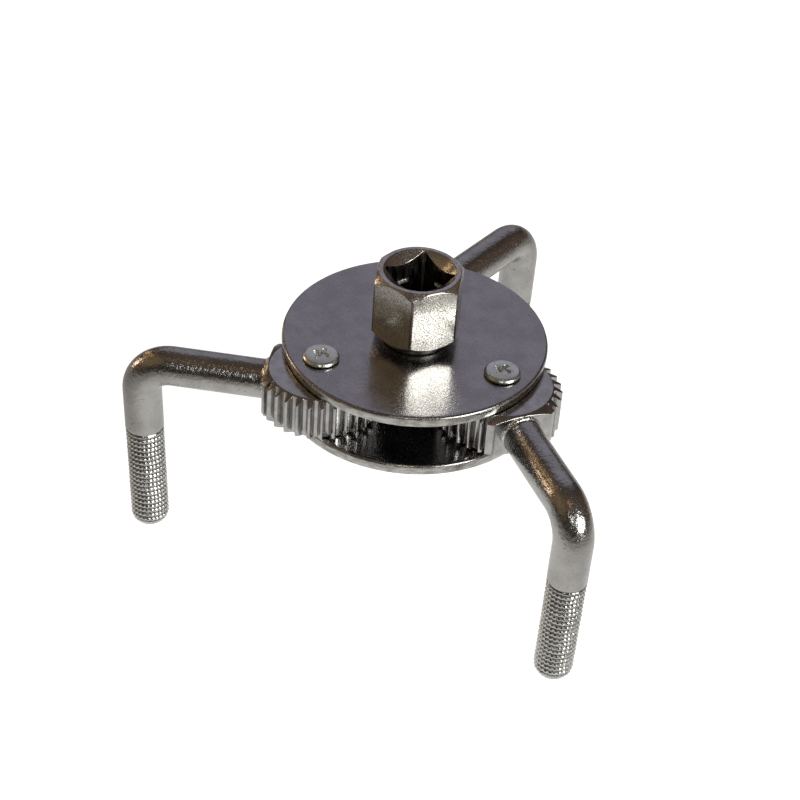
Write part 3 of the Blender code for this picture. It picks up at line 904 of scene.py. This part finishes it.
def edge_finish():
    """Sheared wall of the plates: short vertical tears, rougher than the faces."""
    finish = Finish("sheared_edge", (0.38, 0.375, 0.36), 0.4)
    tears = finish.grain(0.35, (1.0, 1.0, 5.0), detail=3.0, seed=1.0)
    blotch = finish.grain(2.2, (1.0, 1.0, 0.35), detail=3.0, seed=3.0)
    colour = finish.mottle(blotch, 0.35, 0.65, (0.32, 0.315, 0.295), (0.52, 0.515, 0.50))
    finish.link(colour, "Base Color")
    finish.link(finish.span(tears, 0.3, 0.7, 0.16, 0.34), "Roughness")
    finish.bump(tears, 0.03)
    finish.bump(blotch, 0.08)
    return finish.material


def drive_finish():
    """Machined and plated drive head, with vertical drawing marks and a grainy surface."""
    finish = Finish("drawn_hexagon", (0.55, 0.52, 0.48), 0.2)
    drawn = finish.grain(0.28, (1.0, 1.0, 12.0), detail=3.0, seed=1.0)
    grit = finish.grain(0.4, detail=2.0, seed=5.0)
    cloud = finish.grain(3.5, detail=4.0, seed=7.0)
    colour = finish.mottle(cloud, 0.3, 0.7, (0.50, 0.48, 0.455), (0.60, 0.59, 0.57))
    specks = finish.span(finish.grain(0.26, detail=1.0, seed=23.0), 0.50, 0.62, 0.0, 1.0)
    colour = finish.blend(specks, colour, (0.36, 0.34, 0.31))
    finish.link(colour, "Base Color")
    gritty = finish.span(grit, 0.3, 0.7, 0.12, 0.2)
    dulled = finish.maths("MULTIPLY", specks, 0.25)
    finish.link(finish.maths("ADD", gritty, dulled), "Roughness")
    finish.bump(drawn, 0.014)
    finish.bump(grit, 0.032)
    return finish.material


def socket_oxide_shade_finish():
    """Dark inside of the square socket: dark oxide, made darker still as painted shade for the recess.
    """
    finish = Finish("socket_oxide_and_shade", (0.05, 0.045, 0.04), 0.3)
    dark_mottle = finish.grain(1.2, (1.0, 1.0, 3.0), detail=3.0, seed=2.0)
    colour = finish.mottle(dark_mottle, 0.35, 0.7, (0.10, 0.09, 0.08), (0.22, 0.205, 0.19))
    finish.link(colour, "Base Color")
    finish.link(finish.span(dark_mottle, 0.3, 0.7, 0.22, 0.42), "Roughness")
    finish.bump(finish.grain(0.3, (1.0, 1.0, 8.0), seed=8.0), 0.01)
    return finish.material


def painted_corner_reflection():
    """Hexagon's rounded corners painted dark: a painted dark reflection along them."""
    finish = Finish("hexagon_corner_painted_dark", (0.17, 0.155, 0.14), 0.3)
    dark_mottle = finish.grain(0.8, (1.0, 1.0, 3.0), detail=3.0, seed=31.0)
    colour = finish.mottle(dark_mottle, 0.35, 0.65, (0.10, 0.09, 0.08), (0.26, 0.24, 0.22))
    finish.link(colour, "Base Color")
    finish.link(finish.span(dark_mottle, 0.3, 0.7, 0.22, 0.38), "Roughness")
    finish.bump(dark_mottle, 0.015)
    return finish.material


def painted_socket_highlight():
    """Pale steel on the socket's corners and detent sills: a painted highlight where they catch the
    light.
    """
    finish = Finish("socket_highlight_paint", (0.60, 0.59, 0.57), 0.4)
    highlight_mottle = finish.grain(0.4, (1.0, 1.0, 3.0), detail=3.0, seed=15.0)
    finish.link(finish.blend(highlight_mottle, (0.50, 0.48, 0.45), (0.70, 0.69, 0.67)), "Base Color")
    finish.link(finish.span(highlight_mottle, 0.3, 0.7, 0.3, 0.5), "Roughness")
    finish.bump(highlight_mottle, 0.01)
    return finish.material


def gear_finish():
    """Plated sintered gear: fine pores and drawn tooth flanks."""
    finish = Finish("sintered_gear", (0.42, 0.415, 0.41), 0.2)
    pores = finish.grain(0.3, detail=2.0, seed=6.0)
    drawn = finish.grain(0.22, (1.0, 1.0, 9.0), detail=2.0, seed=3.0)
    cloud = finish.grain(2.5, detail=3.0, seed=5.0)
    colour = finish.mottle(cloud, 0.3, 0.7, (0.38, 0.375, 0.37), (0.50, 0.495, 0.49))
    finish.link(colour, "Base Color")
    finish.link(finish.span(pores, 0.3, 0.7, 0.12, 0.22), "Roughness")
    finish.bump(drawn, 0.016)
    finish.bump(pores, 0.018)
    return finish.material


def painted_shade_gear_finish():
    """Gear painted near black: painted shade for the shadowed space between the plates."""
    finish = Finish("gear_in_painted_shade", (0.05, 0.048, 0.045), 0.4)
    dark_mottle = finish.grain(1.5, detail=4.0, seed=19.0)
    colour = finish.mottle(dark_mottle, 0.35, 0.65, (0.02, 0.019, 0.018), (0.07, 0.068, 0.065))
    finish.link(colour, "Base Color")
    finish.link(finish.span(dark_mottle, 0.3, 0.7, 0.25, 0.5), "Roughness")
    finish.bump(dark_mottle, 0.03)
    return finish.material


def leg_finish():
    """Bright plating over drawn bar: orange peel, small pits, painted shade down in the knurl and a
    painted highlight on the weld bead.
    """
    finish = Finish("plated_bar", (0.40, 0.395, 0.39), 0.17)
    peel = finish.grain(1.1, detail=2.0, rough=0.45, seed=3.0)
    fine = finish.grain(0.45, detail=2.0, seed=8.0)
    pits = finish.span(finish.grain(0.55, detail=1.0, seed=12.0), 0.70, 0.78, 0.0, 1.0)
    cloud = finish.grain(5.0, detail=4.0, seed=5.0)
    plain = finish.mottle(cloud, 0.3, 0.7, (0.36, 0.355, 0.345), (0.44, 0.435, 0.425))
    level = finish.add("ShaderNodeSeparateXYZ", {"Vector": finish.place}).outputs["Z"]
    grip = finish.span(level, -0.0365, -0.0345, 1.0, 0.0)
    plain = finish.blend(grip, plain, (0.56, 0.565, 0.55))
    relief = finish.add("ShaderNodeAttribute", attribute_name="relief").outputs["Fac"]
    # Painted shade: near black where the knurl grooves cross.
    groove_shade = finish.span(relief, 0.62, 0.95, 0.0, 0.95)
    knurl_darkened = finish.blend(groove_shade, plain, (0.06, 0.056, 0.05))
    pitted = finish.blend(pits, knurl_darkened, (0.12, 0.11, 0.10))
    # Painted highlight: the weld bead's colour is painted near white.
    weld = finish.span(relief, -0.12, -0.5, 0.0, 1.0)
    finish.link(finish.blend(weld, pitted, (0.82, 0.82, 0.81)), "Base Color")
    polished = finish.span(fine, 0.3, 0.7, 0.16, 0.28)
    dulled = finish.maths("MULTIPLY", groove_shade, 0.25)
    finish.link(finish.maths("ADD", polished, dulled), "Roughness")
    finish.bump(peel, 0.12)
    finish.bump(fine, 0.055)
    finish.bump(pits, -0.04)
    finish.bump(finish.maths("MULTIPLY", weld, finish.grain(0.9, detail=2.0, seed=27.0)), 0.5)
    return finish.material


def screw_finish():
    """Zinc-plated screw: pale, soft and slightly cloudy."""
    finish = Finish("zinc_screw", (0.62, 0.62, 0.63), 0.34)
    cloud = finish.grain(1.4, detail=4.0, seed=2.0)
    fine = finish.grain(0.25, detail=2.0, seed=4.0)
    colour = finish.mottle(cloud, 0.3, 0.7, (0.60, 0.635, 0.60), (0.74, 0.77, 0.735))
    finish.link(colour, "Base Color")
    finish.link(finish.span(fine, 0.3, 0.7, 0.22, 0.34), "Roughness")
    finish.bump(cloud, 0.04)
    finish.bump(fine, 0.006)
    return finish.material


def hardware_shade_finish():
    """Hardware painted dark: washers, ring and posts, as painted shade under the drive head and between
    the plates.
    """
    finish = Finish("hardware_painted_shade", (0.16, 0.155, 0.15), 0.36)
    cloud = finish.grain(1.8, detail=4.0, seed=11.0)
    fine = finish.grain(0.3, detail=2.0, seed=13.0)
    colour = finish.mottle(cloud, 0.3, 0.7, (0.06, 0.056, 0.052), (0.13, 0.126, 0.12))
    finish.link(colour, "Base Color")
    finish.link(finish.span(fine, 0.3, 0.7, 0.28, 0.44), "Roughness")
    finish.bump(fine, 0.01)
    return finish.material


def dress(obj, material, *others):
    """Give a piece its material, and each other material to the faces that its test picks."""
    obj.data.materials.clear()
    obj.data.materials.append(material)
    for index, (other, picks) in enumerate(others, 1):
        obj.data.materials.append(other)
        for face in obj.data.polygons:
            if picks(face.center / MM, face.normal):
                face.material_index = index


# Studio

def direction(azimuth, elevation):
    """Unit vector towards an azimuth from +X and an elevation above the horizon, in degrees."""
    a, e = math.radians(azimuth), math.radians(elevation)
    return Vector((math.cos(a) * math.cos(e), math.sin(a) * math.cos(e), math.sin(e)))


def smooth_range(tree, value, start, end, bottom, top):
    """Carry a value smoothly from one range to another."""
    step = tree.nodes.new("ShaderNodeMapRange")
    step.interpolation_type = "SMOOTHSTEP"
    tree.links.new(value, step.inputs["Value"])
    step.inputs["From Min"].default_value = start
    step.inputs["From Max"].default_value = end
    step.inputs["To Min"].default_value = bottom
    step.inputs["To Max"].default_value = top
    return step.outputs["Result"]


def along(tree, place, towards):
    """How far a place or ray lies in a direction."""
    dot = tree.nodes.new("ShaderNodeVectorMath")
    dot.operation = "DOT_PRODUCT"
    tree.links.new(place, dot.inputs[0])
    dot.inputs[1].default_value = towards
    return dot.outputs["Value"]


def make_world():
    """Room light by direction: dark, with dim, warm and bright patches; white to the eye."""
    world = bpy.data.worlds.new("room")
    world.use_nodes = True
    bpy.context.scene.world = world
    tree = world.node_tree
    ray = tree.nodes.new("ShaderNodeTexCoord").outputs["Generated"]
    colour = ROOM_SHADE
    for azimuth, elevation, inner, outer, tint in ROOM_PATCHES:
        nearness = along(tree, ray, direction(azimuth, elevation))
        start, end = math.cos(math.radians(outer)), math.cos(math.radians(inner))
        colour = mixed(tree, smooth_range(tree, nearness, start, end, 0.0, 1.0), colour, tint)
    seen = tree.nodes.new("ShaderNodeLightPath").outputs["Is Camera Ray"]
    colour = mixed(tree, seen, colour, (1.0, 1.0, 1.0))
    tree.links.new(colour, tree.nodes["Background"].inputs["Color"])


def light_pool(tree, shader):
    """Floor light that stays even to the eye but falls away from the wrench in reflections."""
    place = tree.nodes.new("ShaderNodeTexCoord").outputs["Object"]
    reach = tree.nodes.new("ShaderNodeVectorMath")
    reach.operation = "LENGTH"
    tree.links.new(place, reach.inputs[0])
    side = along(tree, place, direction(POOL_AZIMUTH, 0.0))
    pool = tree.nodes.new("ShaderNodeMath")
    pool.operation = "MULTIPLY"
    tree.links.new(smooth_range(tree, reach.outputs["Value"], *POOL_FADE), pool.inputs[0])
    tree.links.new(smooth_range(tree, side, *POOL_SIDE), pool.inputs[1])
    seen = tree.nodes.new("ShaderNodeLightPath").outputs["Is Camera Ray"]
    strength = tree.nodes.new("ShaderNodeMix")
    tree.links.new(seen, strength.inputs[0])
    tree.links.new(pool.outputs[0], strength.inputs[2])
    strength.inputs[3].default_value = FLOOR_GLOW
    tree.links.new(strength.outputs[0], shader.inputs["Emission Strength"])


def make_floor():
    """Pale matte floor under the leg tips, which gives light of its own."""
    half = FLOOR_HALF_WIDTH
    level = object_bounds()[0].z - FLOOR_DROP
    mesh = bpy.data.meshes.new("floor")
    corners = [(-half, -half, level), (half, -half, level), (half, half, level), (-half, half, level)]
    mesh.from_pydata(corners, [], [(0, 1, 2, 3)])
    floor = bpy.data.objects.new("floor", mesh)
    bpy.context.scene.collection.objects.link(floor)
    material = bpy.data.materials.new("pale_floor")
    material.use_nodes = True
    shader = material.node_tree.nodes["Principled BSDF"]
    shader.inputs["Base Color"].default_value = (0.55, 0.55, 0.55, 1.0)
    shader.inputs["Roughness"].default_value = 0.9
    shader.inputs["Specular IOR Level"].default_value = 0.0
    shader.inputs["Emission Color"].default_value = (1.0, 1.0, 0.99, 1.0)
    light_pool(material.node_tree, shader)
    mesh.materials.append(material)


def make_camera():
    """Camera at the viewing angle: from the front right, looking down on the plate."""
    back = direction(CAMERA_AZIMUTH, CAMERA_ELEVATION)
    data = bpy.data.cameras.new("camera")
    data.lens = CAMERA_LENS
    data.sensor_width = 36.0
    camera = bpy.data.objects.new("camera", data)
    right = Vector((0.0, 0.0, 1.0)).cross(back).normalized()
    up = back.cross(right)
    turn = Matrix((right, up, back)).transposed()
    roll = Matrix.Rotation(math.radians(CAMERA_ROLL), 3, back)
    camera.rotation_mode = "QUATERNION"
    camera.rotation_quaternion = (roll @ turn).to_quaternion()
    camera.location = Vector(CAMERA_AIM) + back * CAMERA_DISTANCE
    data.clip_start = 0.01
    data.clip_end = 20.0
    bpy.context.scene.collection.objects.link(camera)
    bpy.context.scene.camera = camera


def on_rim(centre, normal):
    """True on a plate's outer wall."""
    return math.hypot(centre.x, centre.y) > PLATE_RADIUS - 0.12 and abs(normal.z) < 0.7


def on_upper_face(centre, normal):
    """True on the face that looks up into the gear space."""
    return normal.z > 0.7


def in_socket(centre, normal):
    """True on the walls and in the depth of the square socket."""
    inside = math.hypot(centre.x, centre.y) < SOCKET_HALF_WIDTH * 1.42 and centre.z > -0.1
    return inside and (abs(normal.z) < 0.45 or centre.z < 6.0)


def on_corner(centre, normal):
    """True on the hexagon's rounded vertical corners, which get a painted dark reflection."""
    reach = math.hypot(centre.x, centre.y)
    return reach > HEX_HALF_WIDTH / math.cos(math.pi / 6.0) - 0.2 and abs(normal.z) < 0.3


def highlight_spots(centre, normal):
    """True on the socket's vertical corners and on the sills of its detent slots, which get a painted
    highlight.
    """
    if not in_socket(centre, normal) or centre.z < 0.5:
        return False
    corner = math.hypot(centre.x, centre.y) > SOCKET_HALF_WIDTH * math.sqrt(2.0) - 0.35
    return corner or (normal.z > 0.3 and centre.z < DETENT_LEVEL)


def main():
    """Build every piece, its finish and the studio."""
    plate = plate_finish("rolled_plate", 0.026, 0.21)
    inner_plate = plate_finish("inner_plate", 0.012, 0.17)
    edge = edge_finish()
    gear = gear_finish()
    plating = leg_finish()
    zinc = screw_finish()
    hardware = hardware_shade_finish()

    # Socket: dark oxide plus painted shade; its corners and sills get a painted highlight, the hexagon
    # corners a painted dark reflection.
    dress(make_drive_head(), drive_finish(), (socket_oxide_shade_finish(), in_socket), (painted_socket_highlight(), highlight_spots),
          (painted_corner_reflection(), on_corner))
    upper_bore, lower_bore = JOURNAL_RADIUS + GAP, LOWER_JOURNAL_RADIUS + GAP
    top_plate = make_plate("top_plate", upper_bore, SCREW_SHANK_RADIUS + GAP, 1.0)
    bottom_plate = make_plate("bottom_plate", lower_bore, POST_STUB_RADIUS + GAP, 2.0)
    dress(top_plate, plate, (edge, on_rim))
    dress(bottom_plate, plate, (edge, on_rim), (inner_plate, on_upper_face))
    # The sun gear gets painted shade, near black.
    dress(make_sun_gear(), painted_shade_gear_finish())
    # Washers, ring and posts get painted shade.
    dress(make_washer("upper_thrust_washer", upper_bore), hardware)
    dress(make_washer("lower_thrust_washer", lower_bore), hardware)
    dress(make_retaining_ring(), hardware)
    for number in PIVOTS:
        dress(make_planet_gear(number), gear)
        dress(make_leg(number), plating)
        dress(make_post(number), hardware)
        dress(make_screw(number, math.radians(SCREW_TURNS[number])), zinc)

    make_world()
    make_floor()
    make_camera()
    bpy.context.scene.view_settings.view_transform = "Standard"


main()
